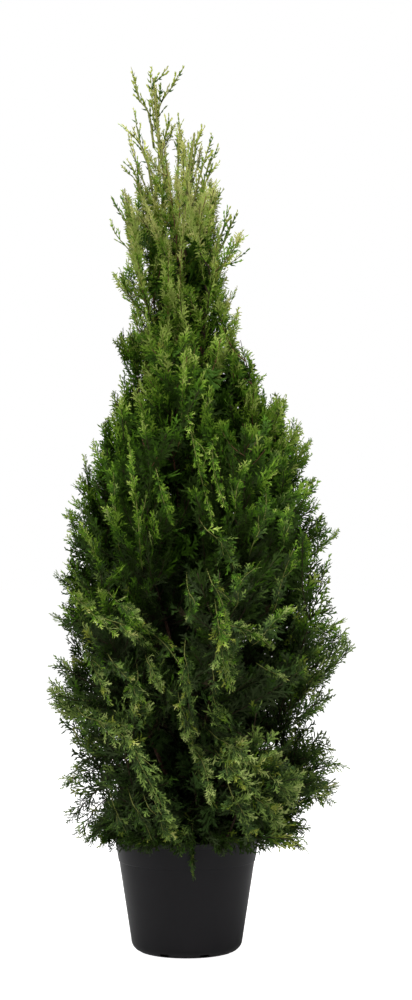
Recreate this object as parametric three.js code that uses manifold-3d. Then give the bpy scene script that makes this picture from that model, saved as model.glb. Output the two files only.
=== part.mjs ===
// A young thuja in a round nursery pot, modelled as separate solids: pot, compost, trunk, boughs and foliage.
// Millimetres, +Z up. The origin is the centre of the pot's flat underside, and the plant's front faces -Y.

import * as THREE from "three";
import { mergeVertices } from "three/addons/utils/BufferGeometryUtils.js";
import Module from "manifold-3d";

const wasm = await Module();
wasm.setup();

// ---- Driving dimensions ----

const CLEARANCE = 0.4; // gap kept between neighbouring solids
const FOLIAGE_CLEARANCE = 0.6; // the same between two plumes, whose uneven surfaces need a little more

const POT = {
  height: 183,
  rimRadius: 115.5,
  baseRadius: 68, // the flat disc it stands on
  heelRadius: 87.5, // where the rounded heel meets the wall
  heelHeight: 19,
  ledgeHeight: 142, // a stacking ledge runs round the wall here
  ledgeStep: 1.2,
  lipHeight: 9,
  lipStep: 1.5,
  wall: 1.8,
  floor: 2.4,
  sides: 28,
};

const DRAINS = { count: 8, width: 15, height: 7, ringRadius: 79, firstAngle: 20 };

const COMPOST_TOP = 164;

const TRUNK = { top: 1372, footRadius: 12, flareRadius: 19, flareHeight: 45, tipRadius: 1.6, sides: 8, steps: 14 };

// The trunk's sideways lean, as [height, offset] stations.
const LEAN_X = [[164, 0], [420, 5], [700, 7], [950, -8], [1130, -22], [1290, -46], [1400, -54]];
const LEAN_Y = [[164, 0], [480, -6], [760, 5], [1050, -3], [1400, 0]];

// How far the foliage reaches from the trunk on each side, as [height, reach] stations.
const REACH_RIGHT = [
  [180, 170], [300, 244], [375, 210], [505, 258], [570, 236], [620, 238], [700, 196],
  [775, 197], [890, 164], [960, 112], [1010, 90], [1101, 118], [1172, 108], [1240, 80], [1320, 48],
];
const REACH_LEFT = [
  [180, 162], [260, 188], [340, 200], [425, 224], [490, 198], [530, 216], [676, 205],
  [771, 180], [865, 122], [930, 78], [965, 92], [1030, 70], [1148, 90], [1240, 58], [1320, 44],
];

// Rings of foliage from the lowest up. Each plume starts at the height `low` and at `inner` times the reach, and
// ends at the height `high`. `girth` and `depth` are its half sizes round the crown and out from it. A bough of
// radius `bough` at its foot leaves the trunk `rise` below the plume's start. `taper` is how much slimmer the plume
// is towards its tip.
const RINGS = [
  { name: "skirt", count: 6, turn: 0, low: 180, high: 388, inner: 0.46, girth: 88, depth: 54, taper: -0.04, bough: 4.2, rise: 4 },
  { name: "lower", count: 6, turn: -15, low: 330, high: 600, inner: 0.36, girth: 84, depth: 54, taper: 0.06, bough: 5, rise: 100 },
  { name: "middle", count: 6, turn: 2, low: 500, high: 824, inner: 0.34, girth: 78, depth: 52, taper: 0.12, bough: 4.6, rise: 110 },
  { name: "shoulder", count: 4, turn: -12, low: 690, high: 958, inner: 0.3, girth: 84, depth: 48, taper: 0.2, bough: 3.6, rise: 100 },
  { name: "neck", count: 3, turn: -40, low: 850, high: 1124, inner: 0.2, girth: 64, depth: 40, taper: 0.12 },
  { name: "upper", count: 3, turn: 40, low: 1030, high: 1262, inner: 0.2, girth: 56, depth: 38, taper: 0.1 },
];

const PLUME_SIDES = 10; // the facets round each plume
const PLUME_STEPS = 6; // and along it
const PLUME_FULLNESS = 0.12; // how much blunter than an ellipsoid's a plume's ends are
const UNEVENNESS = 0.13; // how far a plume's surface swells and sinks, as a share of its half size

// ---- Materials ----

const material = (color, roughness) => new THREE.MeshStandardMaterial({ color, roughness, metalness: 0 });
const potPlastic = material(0x242326, 0.55);
const compostBrown = material(0x2b1f17, 1);
const barkBrown = material(0x5b4030, 0.9);
const foliageColours = {
  skirt: material(0x2c4a1c, 0.8),
  lower: material(0x2f5220, 0.8),
  middle: material(0x355c1f, 0.8),
  shoulder: material(0x3d6620, 0.8),
  neck: material(0x456f22, 0.8),
  upper: material(0x547a26, 0.8),
  spire: material(0x66852c, 0.8),
};

// ---- Small helpers ----

// Repeatable random numbers from 0 to 1.
function seeded(seed) {
  let state = seed;
  return () => {
    state = (state * 1664525 + 1013904223) % 4294967296;
    return state / 4294967296;
  };
}

// The value at a height, eased between the two stations around it.
function atStation(stations, height) {
  const next = stations.findIndex(([z]) => z >= height);
  if (next === 0) return stations[0][1];
  if (next < 0) return stations[stations.length - 1][1];
  const [z0, v0] = stations[next - 1];
  const [z1, v1] = stations[next];
  return THREE.MathUtils.lerp(v0, v1, THREE.MathUtils.smoothstep(height, z0, z1));
}

const trunkAt = (z) => new THREE.Vector3(atStation(LEAN_X, z), atStation(LEAN_Y, z), z);

const outward = (angle) => new THREE.Vector3(Math.cos(angle), Math.sin(angle), 0);

// How far the crown reaches from the trunk at a height and an angle; the right side is at angle 0.
function reachAt(z, angle) {
  const rightShare = (1 + Math.cos(angle)) / 2;
  return THREE.MathUtils.lerp(atStation(REACH_LEFT, z), atStation(REACH_RIGHT, z), rightShare);
}

const FACINGS = ["right", "back_right", "back", "back_left", "left", "front_left", "front", "front_right"];

function facing(angle) {
  const eighth = Math.round(angle / (Math.PI / 4));
  return FACINGS[((eighth % 8) + 8) % 8];
}

// ---- Solids ----

function solidFrom(geometry) {
  const bare = geometry.clone();
  bare.deleteAttribute("normal");
  bare.deleteAttribute("uv");
  const merged = mergeVertices(bare, 1e-3);
  return new wasm.Manifold(
    new wasm.Mesh({
      numProp: 3,
      vertProperties: new Float32Array(merged.attributes.position.array),
      triVerts: new Uint32Array(merged.index.array),
    }),
  );
}

function geometryFrom(solid) {
  const { vertProperties, triVerts } = solid.getMesh();
  const geometry = new THREE.BufferGeometry();
  geometry.setAttribute("position", new THREE.BufferAttribute(new Float32Array(vertProperties), 3));
  geometry.setIndex(new THREE.BufferAttribute(new Uint32Array(triVerts), 1));
  geometry.computeVertexNormals();
  return geometry;
}

// What is left of a solid after the cutters are taken away, keeping only its largest piece.
function cutBy(solid, cutters) {
  const left = cutters.reduce((rest, cutter) => rest.subtract(cutter), solid);
  return left.decompose().reduce((best, piece) => (piece.volume() > best.volume() ? piece : best));
}

const thuja = new THREE.Group();
thuja.name = "potted_thuja";

function addPart(name, solid, partMaterial) {
  const mesh = new THREE.Mesh(geometryFrom(solid), partMaterial);
  mesh.name = name;
  thuja.add(mesh);
}

// ---- Pot and compost ----

// The wall's outer radius at a height, without the ledge and the lip.
function wallRadius(z) {
  const slope = (POT.rimRadius - POT.lipStep - POT.ledgeStep - POT.heelRadius) / (POT.height - POT.heelHeight);
  return POT.heelRadius + slope * (z - POT.heelHeight);
}

// The rounded heel between the base disc and the wall, drawn as a quarter ellipse.
function heelPoints(inset) {
  const steps = 3;
  return Array.from({ length: steps + 1 }, (_, i) => {
    const turn = (i / steps) * (Math.PI / 2);
    const radius = POT.baseRadius + (POT.heelRadius - POT.baseRadius) * Math.sin(turn);
    const height = POT.heelHeight * (1 - Math.cos(turn));
    return new THREE.Vector2(radius - inset, Math.max(height, inset > 0 ? POT.floor : 0));
  });
}

function outerProfile() {
  const lipFoot = POT.height - POT.lipHeight;
  return [
    ...heelPoints(0),
    new THREE.Vector2(wallRadius(POT.ledgeHeight), POT.ledgeHeight),
    new THREE.Vector2(wallRadius(POT.ledgeHeight) + POT.ledgeStep, POT.ledgeHeight + 1),
    new THREE.Vector2(wallRadius(lipFoot) + POT.ledgeStep, lipFoot),
    new THREE.Vector2(wallRadius(lipFoot) + POT.ledgeStep + POT.lipStep, lipFoot + 1.5),
    new THREE.Vector2(POT.rimRadius, POT.height),
  ];
}

function innerProfile() {
  return [
    new THREE.Vector2(wallRadius(POT.height) - POT.wall, POT.height),
    new THREE.Vector2(wallRadius(POT.heelHeight) - POT.wall, POT.heelHeight),
    ...heelPoints(POT.wall).reverse().slice(1),
    new THREE.Vector2(0, POT.floor),
  ].filter((point, i, all) => i === 0 || point.distanceTo(all[i - 1]) > 0.01);
}

// A lathed solid whose axis is turned from Y to Z.
const turned = (points) => new THREE.LatheGeometry(points, POT.sides).rotateX(Math.PI / 2);

function drainCutters() {
  return Array.from({ length: DRAINS.count }, (_, i) => {
    const angle = THREE.MathUtils.degToRad(DRAINS.firstAngle) + (i * 2 * Math.PI) / DRAINS.count;
    const slot = new THREE.CylinderGeometry(DRAINS.width / 2, DRAINS.width / 2, DRAINS.height * 2, 8);
    slot.rotateX(Math.PI / 2);
    slot.translate(DRAINS.ringRadius * Math.cos(angle), DRAINS.ringRadius * Math.sin(angle), 0);
    return solidFrom(slot);
  });
}

function makePot() {
  const shell = turned([new THREE.Vector2(0, 0), ...outerProfile(), ...innerProfile()]);
  return cutBy(solidFrom(shell), drainCutters());
}

// The compost fills the pot to just under its ledge, with a low crown in the middle.
function makeCompost() {
  const side = wallRadius(COMPOST_TOP) - POT.wall - CLEARANCE;
  const foot = wallRadius(POT.heelHeight) - POT.wall - CLEARANCE;
  const floor = POT.floor + CLEARANCE;
  return solidFrom(
    turned([
      new THREE.Vector2(0, floor),
      new THREE.Vector2(POT.baseRadius - POT.wall - 1, floor),
      new THREE.Vector2(foot - 1.2, POT.heelHeight),
      new THREE.Vector2(side - 1, COMPOST_TOP - 4),
      new THREE.Vector2(side - 14, COMPOST_TOP - 1),
      new THREE.Vector2(TRUNK.flareRadius + 8, COMPOST_TOP),
      new THREE.Vector2(0, COMPOST_TOP),
    ]),
  );
}

// Everything up to the rim's plane, which the foliage keeps out of.
function potEnvelope() {
  const grown = outerProfile().map((point) => new THREE.Vector2(point.x + CLEARANCE, point.y));
  const above = new THREE.Vector2(POT.rimRadius + CLEARANCE, POT.height + CLEARANCE);
  return solidFrom(turned([new THREE.Vector2(0, 0), ...grown, above, new THREE.Vector2(0, above.y)]));
}

// ---- Trunk and boughs ----

function trunkRadius(z) {
  const share = (z - COMPOST_TOP) / (TRUNK.top - COMPOST_TOP);
  const flare = THREE.MathUtils.smoothstep(COMPOST_TOP + TRUNK.flareHeight - z, 0, TRUNK.flareHeight);
  const taper = THREE.MathUtils.lerp(TRUNK.footRadius, TRUNK.tipRadius, Math.pow(share, 0.85));
  return taper + (TRUNK.flareRadius - TRUNK.footRadius) * flare;
}

// The trunk keeps its rings level, so that it meets the compost with a flat cut.
function trunkSolid(grown) {
  const height = TRUNK.top - COMPOST_TOP - CLEARANCE;
  const geometry = new THREE.CylinderGeometry(1, 1, height, TRUNK.sides, TRUNK.steps).rotateX(Math.PI / 2);
  const position = geometry.attributes.position;
  for (let i = 0; i < position.count; i++) {
    const z = position.getZ(i) + height / 2 + COMPOST_TOP + CLEARANCE;
    const centre = trunkAt(z);
    const radius = trunkRadius(z) + grown;
    position.setXYZ(i, centre.x + position.getX(i) * radius, centre.y + position.getY(i) * radius, z);
  }
  return solidFrom(geometry);
}

// A tapering limb: a cylinder whose rings are moved onto a curve.
function limb(curve, footRadius, tipRadius, grown) {
  const sides = 5;
  const steps = 4;
  const geometry = new THREE.CylinderGeometry(1, 1, 1, sides, steps);
  const frames = curve.computeFrenetFrames(steps, false);
  const position = geometry.attributes.position;
  for (let i = 0; i < position.count; i++) {
    const share = position.getY(i) + 0.5;
    const ring = Math.round(share * steps);
    const radius = THREE.MathUtils.lerp(footRadius, tipRadius, share) + grown;
    const place = curve.getPointAt(share);
    place.addScaledVector(frames.normals[ring], position.getX(i) * radius);
    place.addScaledVector(frames.binormals[ring], -position.getZ(i) * radius);
    position.setXYZ(i, place.x, place.y, place.z);
  }
  return solidFrom(geometry);
}

// A bough leaves the trunk at a wide angle, curves upwards and ends just inside its plume.
function boughCurve(shape) {
  const end = plumeSpine(shape).at(0.07);
  const start = trunkAt(shape.ring.low - shape.ring.rise);
  const knee = start.clone().lerp(end, 0.6);
  knee.z = THREE.MathUtils.lerp(start.z, end.z, 0.35);
  return new THREE.QuadraticBezierCurve3(start, knee, end);
}

// ---- Foliage ----

// A smooth, repeatable swelling and sinking of a plume's surface over its directions.
function unevenSurface(random) {
  const waves = Array.from({ length: 4 }, () => ({
    direction: new THREE.Vector3(random() - 0.5, random() - 0.5, random() - 0.5).multiplyScalar(11),
    phase: random() * 2 * Math.PI,
  }));
  return (spot) => {
    const sum = waves.reduce((total, wave) => total + Math.sin(wave.direction.dot(spot) + wave.phase), 0);
    return 1 + (UNEVENNESS * sum) / Math.sqrt(waves.length);
  };
}

// The line down the middle of a plume, bowed outwards between its start and its tip. `angle` is the side of the
// crown that it faces, `round` runs round the crown there and `out` away from it.
function plumeSpine({ start, tip, bow, angle }) {
  const round = new THREE.Vector3(-Math.sin(angle), Math.cos(angle), 0);
  const chord = tip.clone().sub(start);
  const along = chord.clone().normalize();
  const out = new THREE.Vector3().crossVectors(round, along).normalize();
  const at = (share) => start.clone().addScaledVector(chord, share).addScaledVector(out, bow * 4 * share * (1 - share));
  return { round, out, length: chord.length(), at };
}

// A plume is a sphere drawn out along its spine.
function plume(shape, grown) {
  const { girth, depth, taper, surface } = shape;
  const geometry = new THREE.SphereGeometry(1, PLUME_SIDES, PLUME_STEPS);
  const position = geometry.attributes.position;
  const { round, out, length, at } = plumeSpine(shape);
  const spot = new THREE.Vector3();
  for (let i = 0; i < position.count; i++) {
    spot.fromBufferAttribute(position, i);
    const blunt = Math.pow(Math.max(1 - spot.y * spot.y, 1e-3), -PLUME_FULLNESS);
    const swell = surface(spot) * (1 - taper * spot.y) * blunt;
    const place = at((spot.y * (1 + (2 * grown) / length) + 1) / 2);
    place.addScaledVector(round, spot.x * (girth * swell + grown));
    place.addScaledVector(out, spot.z * (depth * swell + grown));
    position.setXYZ(i, place.x, place.y, place.z);
  }
  return solidFrom(geometry);
}

// A ring's plume starts and ends where its ring says, and is bowed until its outside meets the crown's reach.
function ringPlume(ring, angle, random) {
  const station = (z, radius) => trunkAt(z).addScaledVector(outward(angle), radius);
  const startRadius = ring.inner * reachAt(ring.low, angle);
  const tipRadius = reachAt(ring.high, angle) - 0.35 * ring.depth;
  const uprightness = (ring.high - ring.low) / Math.hypot(ring.high - ring.low, tipRadius - startRadius);
  const missing = reachAt((ring.low + ring.high) / 2, angle) - (startRadius + tipRadius) / 2;
  return {
    name: `${ring.name}_foliage_${facing(angle)}`,
    ring,
    angle,
    start: station(ring.low, startRadius),
    tip: station(ring.high, tipRadius),
    bow: missing / uprightness - ring.depth,
    girth: ring.girth * (0.92 + 0.16 * random()),
    depth: ring.depth,
    taper: ring.taper,
    surface: unevenSurface(random),
  };
}

function ringPlumes(ring, seed) {
  const random = seeded(seed);
  return Array.from({ length: ring.count }, (_, i) => {
    const turn = ring.turn + (i * 360) / ring.count + 10 * (random() - 0.5);
    return ringPlume(ring, THREE.MathUtils.degToRad(turn), random);
  });
}

const FRONT = -Math.PI / 2;
const place = (x, y, z) => new THREE.Vector3(x, y, z);

// The second leader forks from the trunk and carries a tuft of its own.
const SECOND_LEADER = { line: [trunkAt(985), place(-8, -10, 1110), place(12, -6, 1285)], foot: 4, tip: 1.4 };

// Single plumes: the leader's open fan, the second leader's tuft, a side shoot, and a spray that weeps over the rim.
const TUFTS = [
  { name: "leader_fan", start: place(-44, 0, 1218), tip: place(-51, -2, 1399), bow: 0, girth: 36, depth: 17, taper: -0.25 },
  { name: "second_leader_tuft", start: place(-6, -8, 1120), tip: place(14, -4, 1312), bow: 0, girth: 36, depth: 26, taper: 0.1 },
  { name: "side_shoot_tuft", start: place(-64, 6, 1152), tip: place(-99, 9, 1303), bow: 3, girth: 18, depth: 16, taper: 0.1 },
  { name: "weeping_spray", start: place(10, -104, 220), tip: place(9, -127, 124), bow: -9, girth: 9, depth: 5, taper: 0 },
].map((tuft) => ({ ...tuft, ring: { name: tuft.name === "weeping_spray" ? "skirt" : "spire" } }));

// ---- The whole plant ----

function build() {
  addPart("pot", makePot(), potPlastic);
  addPart("compost", makeCompost(), compostBrown);
  addPart("trunk", trunkSolid(0), barkBrown);

  const woodCutters = [trunkSolid(CLEARANCE)];
  const addLimb = (name, curve, foot, tip) => {
    addPart(name, cutBy(limb(curve, foot, tip, 0), woodCutters), barkBrown);
    woodCutters.push(limb(curve, foot, tip, CLEARANCE));
  };
  addLimb("second_leader", new THREE.CatmullRomCurve3(SECOND_LEADER.line), SECOND_LEADER.foot, SECOND_LEADER.tip);

  const plumes = RINGS.flatMap((ring, r) => ringPlumes(ring, 11 + r));
  for (const shape of plumes.filter(({ ring }) => ring.bough)) {
    const { name, bough } = shape.ring;
    addLimb(`${name}_bough_${facing(shape.angle)}`, boughCurve(shape), bough, bough * 0.45);
  }

  const tufts = TUFTS.map((tuft, t) => ({ ...tuft, angle: FRONT, surface: unevenSurface(seeded(71 + t)) }));
  const cutters = [potEnvelope(), ...woodCutters];
  for (const shape of [...plumes, ...tufts]) {
    addPart(shape.name, cutBy(plume(shape, 0), cutters), foliageColours[shape.ring.name]);
    cutters.push(plume(shape, FOLIAGE_CLEARANCE));
  }
}

build();

export default thuja;
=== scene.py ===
"""A young upright thuja in a black nursery pot: bark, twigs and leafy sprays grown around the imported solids.

Metres, +Z up, the crown's front faces -Y. Tables that say so are in millimetres. The frame tells where the
pot, the compost, the limbs and the masses of foliage are.
"""

import math
from collections import namedtuple

import bmesh
import bpy
import numpy as np
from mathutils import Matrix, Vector
from mathutils.bvhtree import BVHTree


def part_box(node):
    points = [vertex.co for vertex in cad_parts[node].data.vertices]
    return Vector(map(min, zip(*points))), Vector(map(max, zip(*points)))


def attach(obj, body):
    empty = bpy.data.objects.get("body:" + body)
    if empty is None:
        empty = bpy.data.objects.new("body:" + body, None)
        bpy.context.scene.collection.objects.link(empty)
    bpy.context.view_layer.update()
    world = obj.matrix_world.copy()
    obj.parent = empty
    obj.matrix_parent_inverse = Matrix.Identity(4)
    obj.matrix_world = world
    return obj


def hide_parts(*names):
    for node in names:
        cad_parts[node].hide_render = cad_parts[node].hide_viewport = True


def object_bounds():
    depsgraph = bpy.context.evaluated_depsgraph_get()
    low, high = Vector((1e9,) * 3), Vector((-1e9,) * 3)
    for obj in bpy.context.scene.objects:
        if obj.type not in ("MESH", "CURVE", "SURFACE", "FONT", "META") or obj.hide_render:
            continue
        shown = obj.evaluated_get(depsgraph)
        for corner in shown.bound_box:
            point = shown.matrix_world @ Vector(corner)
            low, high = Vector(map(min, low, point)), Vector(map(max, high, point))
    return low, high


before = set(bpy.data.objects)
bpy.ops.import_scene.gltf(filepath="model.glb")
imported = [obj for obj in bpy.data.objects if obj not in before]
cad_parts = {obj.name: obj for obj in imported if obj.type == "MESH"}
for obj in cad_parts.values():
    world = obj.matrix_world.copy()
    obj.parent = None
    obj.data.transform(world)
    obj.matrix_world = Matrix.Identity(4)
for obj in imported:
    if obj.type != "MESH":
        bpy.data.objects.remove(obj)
cad_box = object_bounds()

# ---- What the frame says ----

POT_LOW, POT_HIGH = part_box("pot")
COMPOST_LOW, COMPOST_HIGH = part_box("compost")
TRUNK_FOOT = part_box("trunk")[0].z
CROWN_TOP = cad_box[1].z
RIM = POT_HIGH.z
RIM_RADIUS = (POT_HIGH.x - POT_LOW.x) / 2
BOUGHS = sorted(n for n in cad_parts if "_bough_" in n)
MASSES = sorted(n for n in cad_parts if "_foliage_" in n)
TUFTS = ["leader_fan", "second_leader_tuft", "side_shoot_tuft"]
WEEPING = "weeping_spray"
RING_NAMES = ["skirt", "lower", "middle", "shoulder", "neck", "upper"]

UP = np.array([0.0, 0.0, 1.0])
FRONT = np.array([0.0, -1.0, 0.0])
GOLDEN_ANGLE = math.radians(137.5)


# ---- Small helpers ----


def unit(v):
    """A vector, or each row of an array of them, at length one."""
    v = np.asarray(v, float)
    return v / np.maximum(np.linalg.norm(v, axis=-1, keepdims=True), 1e-9)


def turned(v, axis, angle):
    """v turned about a unit axis."""
    c, s = math.cos(angle), math.sin(angle)
    return v * c + np.cross(axis, v) * s + axis * np.dot(axis, v) * (1 - c)


def points_of(row):
    """The points of a table's row, from x, y and z of each in millimetres."""
    return np.reshape(row, (-1, 3)) / 1000


def crown_height(z):
    """How far up the crown a height is, from 0 at the rim to 1 at the tip."""
    return min(1.0, max(0.0, (z - RIM) / (CROWN_TOP - RIM)))


def deselect_all():
    if bpy.context.object and bpy.context.object.mode != "OBJECT":
        bpy.ops.object.mode_set(mode="OBJECT")
    bpy.ops.object.select_all(action="DESELECT")


def select_only(*pieces):
    """Selects pieces and nothing else; the first of them becomes the active one."""
    deselect_all()
    for piece in pieces:
        piece.select_set(True)
    bpy.context.view_layer.objects.active = pieces[0]


def settle(piece, name):
    """Names a piece and puts its place into its mesh, so that its object sits at the origin."""
    select_only(piece)
    bpy.ops.object.transform_apply(location=True, rotation=True, scale=True)
    piece.name = piece.data.name = name
    return piece


def join(pieces, name):
    """Joins pieces into the first of them and settles it under a name."""
    select_only(*pieces)
    bpy.ops.object.join()
    return settle(pieces[0], name)


def close_mesh():
    """Merges doubled points, turns every face outwards and leaves edit mode."""
    bpy.ops.mesh.select_all(action="SELECT")
    bpy.ops.mesh.remove_doubles(threshold=1e-6)
    bpy.ops.mesh.normals_make_consistent(inside=False)
    bpy.ops.object.mode_set(mode="OBJECT")


def turn_body(sides, profile):
    """A round body: a disc at the first (radius, height) of a profile, extruded and scaled to the others."""
    deselect_all()
    (radius, height), *steps = profile
    place = (0, 0, height)
    bpy.ops.mesh.primitive_circle_add(vertices=sides, radius=radius, fill_type="NGON", location=place)
    body = bpy.context.object
    bpy.ops.object.mode_set(mode="EDIT")
    bpy.ops.mesh.select_all(action="SELECT")
    for new_radius, new_height in steps:
        bpy.ops.mesh.extrude_region_move(TRANSFORM_OT_translate={"value": (0, 0, new_height - height)})
        scale = new_radius / radius
        bpy.ops.transform.resize(value=(scale, scale, 1), center_override=(0, 0, new_height))
        radius, height = new_radius, new_height
    close_mesh()
    return body


def add_object(name, data):
    """A new object in the scene that shows some data."""
    piece = bpy.data.objects.new(name, data)
    bpy.context.scene.collection.objects.link(piece)
    return piece


def node_points(node):
    """The points of a CAD node's solid, one row each."""
    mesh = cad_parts[node].data
    points = np.empty(len(mesh.vertices) * 3)
    mesh.vertices.foreach_get("co", points)
    return points.reshape(-1, 3)


# ---- Materials ----


def principled(name, colour, roughness, specular):
    """A material with its Principled shader; colour is linear."""
    material = bpy.data.materials.new(name)
    material.use_nodes = True
    shader = material.node_tree.nodes["Principled BSDF"]
    shader.inputs["Base Color"].default_value = (*colour, 1)
    shader.inputs["Roughness"].default_value = roughness
    shader.inputs["Specular IOR Level"].default_value = specular
    return material, shader


def add_node(tree, kind, values=(), **settings):
    """A shader node of a kind, with its settings and the values of its inputs as (name, value)."""
    node = tree.nodes.new("ShaderNode" + kind)
    for label, value in settings.items():
        setattr(node, label, value)
    for label, value in values:
        node.inputs[label].default_value = value
    return node


def wire(tree, *pairs):
    """Links pairs of sockets, each an output and the input that it feeds."""
    for source, target in pairs:
        tree.links.new(source, target)


GRAIN_INPUTS = [("Scale", 60.0), ("Squash", 1.0), ("Relief", 0.3), ("Depth", 0.001)]
GRAIN_OUTPUTS = [("Mask", "NodeSocketFloat"), ("Normal", "NodeSocketVector")]


def make_grain_group():
    """Grain: noise stretched along Z, as a mask from 0 to 1 and as a bumped normal."""
    group = bpy.data.node_groups.new("grain", "ShaderNodeTree")
    for label, value in GRAIN_INPUTS:
        socket = group.interface.new_socket(label, in_out="INPUT", socket_type="NodeSocketFloat")
        socket.default_value = value
    for label, kind in GRAIN_OUTPUTS:
        group.interface.new_socket(label, in_out="OUTPUT", socket_type=kind)
    given, out = group.nodes.new("NodeGroupInput"), group.nodes.new("NodeGroupOutput")
    place = add_node(group, "TexCoord")
    stretch = add_node(group, "CombineXYZ", [("X", 1.0), ("Y", 1.0)])
    scaled = add_node(group, "VectorMath", operation="MULTIPLY")
    noise = add_node(group, "TexNoise", [("Detail", 6.0), ("Roughness", 0.62)])
    bump = add_node(group, "Bump")
    wire(
        group,
        (given.outputs["Squash"], stretch.inputs["Z"]),
        (place.outputs["Object"], scaled.inputs[0]),
        (stretch.outputs[0], scaled.inputs[1]),
        (scaled.outputs[0], noise.inputs["Vector"]),
        (given.outputs["Scale"], noise.inputs["Scale"]),
        (noise.outputs["Fac"], out.inputs["Mask"]),
        (noise.outputs["Fac"], bump.inputs["Height"]),
        (given.outputs["Relief"], bump.inputs["Strength"]),
        (given.outputs["Depth"], bump.inputs["Distance"]),
        (bump.outputs[0], out.inputs["Normal"]),
    )
    return group


grain_group = make_grain_group()


def add_grain(material, *values):
    """Adds the grain group with its scale, squash, relief and depth, and returns its mask and its normal."""
    node = add_node(material.node_tree, "Group", node_tree=grain_group)
    for (label, _), value in zip(GRAIN_INPUTS, values):
        node.inputs[label].default_value = value
    return node.outputs["Mask"], node.outputs["Normal"]


def ramp(material, source, stops):
    """A ramp of colours over a mask: stops as (place, linear colour)."""
    node = add_node(material.node_tree, "ValToRGB")
    elements = node.color_ramp.elements
    while len(elements) < len(stops):
        elements.new(0.5)
    for element, (place, colour) in zip(elements, stops):
        element.position = place
        element.color = (*colour, 1)
    wire(material.node_tree, (source, node.inputs["Fac"]))
    return node.outputs["Color"]


def grey(value):
    return (value, value, value)


def make_pot_plastic():
    """Black moulded plastic, a little dusty, with a faint orange peel."""
    material, shader = principled("pot_plastic", (0.0040, 0.0037, 0.0045), 0.4, 0.14)
    dust, _ = add_grain(material, 9.0, 0.6, 0.0, 0.001)
    _, peel = add_grain(material, 420.0, 1.0, 0.12, 0.0004)
    colour = ramp(material, dust, [(0.38, (0.0030, 0.0027, 0.0035)), (0.7, (0.0055, 0.0050, 0.0060))])
    roughness = ramp(material, dust, [(0.35, grey(0.32)), (0.72, grey(0.46))])
    wire(
        material.node_tree,
        (colour, shader.inputs["Base Color"]),
        (roughness, shader.inputs["Roughness"]),
        (peel, shader.inputs["Normal"]),
    )
    return material


def make_compost_peat():
    """Dark peat with paler crumbs."""
    material, shader = principled("compost_peat", (0.03, 0.02, 0.013), 0.95, 0.2)
    mask, normal = add_grain(material, 160.0, 1.0, 0.8, 0.002)
    stops = [(0.3, (0.008, 0.006, 0.004)), (0.55, (0.03, 0.019, 0.012)), (0.75, (0.075, 0.047, 0.028))]
    colour = ramp(material, mask, stops)
    wire(material.node_tree, (colour, shader.inputs["Base Color"]), (normal, shader.inputs["Normal"]))
    return material


GREEN_BARK_FROM = 1.08
GREEN_BARK_TO = 1.24


def make_bark():
    """Fibrous red-brown bark in long strips with grey crests, which turns to a green skin up the leaders."""
    material, shader = principled("thuja_bark", (0.12, 0.06, 0.035), 0.85, 0.25)
    tree = material.node_tree
    mask, normal = add_grain(material, 190.0, 0.09, 0.9, 0.0015)
    browns = [(0.3, (0.024, 0.012, 0.007)), (0.52, (0.080, 0.040, 0.024)), (0.72, (0.16, 0.105, 0.075))]
    greens = [(0.3, (0.085, 0.085, 0.022)), (0.7, (0.165, 0.170, 0.050))]
    place = add_node(tree, "TexCoord")
    height = add_node(tree, "SeparateXYZ")
    young = add_node(tree, "MapRange", [("From Min", GREEN_BARK_FROM), ("From Max", GREEN_BARK_TO)])
    blend = add_node(tree, "Mix", data_type="RGBA")
    wire(
        tree,
        (place.outputs["Object"], height.inputs[0]),
        (height.outputs["Z"], young.inputs["Value"]),
        (young.outputs["Result"], blend.inputs["Factor"]),
        (ramp(material, mask, browns), blend.inputs["A"]),
        (ramp(material, mask, greens), blend.inputs["B"]),
        (blend.outputs["Result"], shader.inputs["Base Color"]),
        (normal, shader.inputs["Normal"]),
    )
    return material


def plain(name, colour, roughness=0.6):
    return principled(name, colour, roughness, 0.06)[0]


# Leaf tints. Three families go from a frond's dark inside to its young tips: cool for the lower crown, warm
# for the upper and golden for the leaders. Their darkest tints, leaf_shaded and leaf_warm_shaded, are painted
# shade for the crown's inside, and each family's steps stand partly for light and shade and partly for age.
LEAF_TINTS = {
    "leaf_shaded": (0.026, 0.040, 0.013),
    "leaf_cool_deep": (0.026, 0.052, 0.011),
    "leaf_cool_green": (0.056, 0.096, 0.019),
    "leaf_cool_fresh": (0.118, 0.174, 0.036),
    "leaf_cool_tip": (0.192, 0.238, 0.070),
    "leaf_warm_deep": (0.024, 0.058, 0.004),
    "leaf_warm_green": (0.047, 0.110, 0.006),
    "leaf_warm_fresh": (0.110, 0.190, 0.017),
    "leaf_warm_tip": (0.212, 0.276, 0.056),
    "leaf_gold_green": (0.094, 0.130, 0.014),
    "leaf_gold_fresh": (0.182, 0.212, 0.032),
    "leaf_gold_tip": (0.300, 0.314, 0.095),
    "leaf_withered": (0.032, 0.026, 0.013),
    "leaf_warm_shaded": (0.019, 0.038, 0.005),
}
leaf_materials = [plain(name, colour) for name, colour in LEAF_TINTS.items()]
WITHERED = 12
COOL = [0, 1, 2, 3, 4]
WARM = [13, 5, 6, 7, 8]
GOLD = [13, 5, 9, 10, 11]

TWIG_TINTS = {
    "twig_brown": (0.030, 0.020, 0.013),
    "twig_red": (0.095, 0.047, 0.026),
    "twig_green": (0.125, 0.135, 0.036),
}
twig_materials = [plain(name, colour, 0.7) for name, colour in TWIG_TINTS.items()]
TWIG_BROWN, TWIG_RED, TWIG_GREEN = range(3)


# ---- Pot ----

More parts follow.
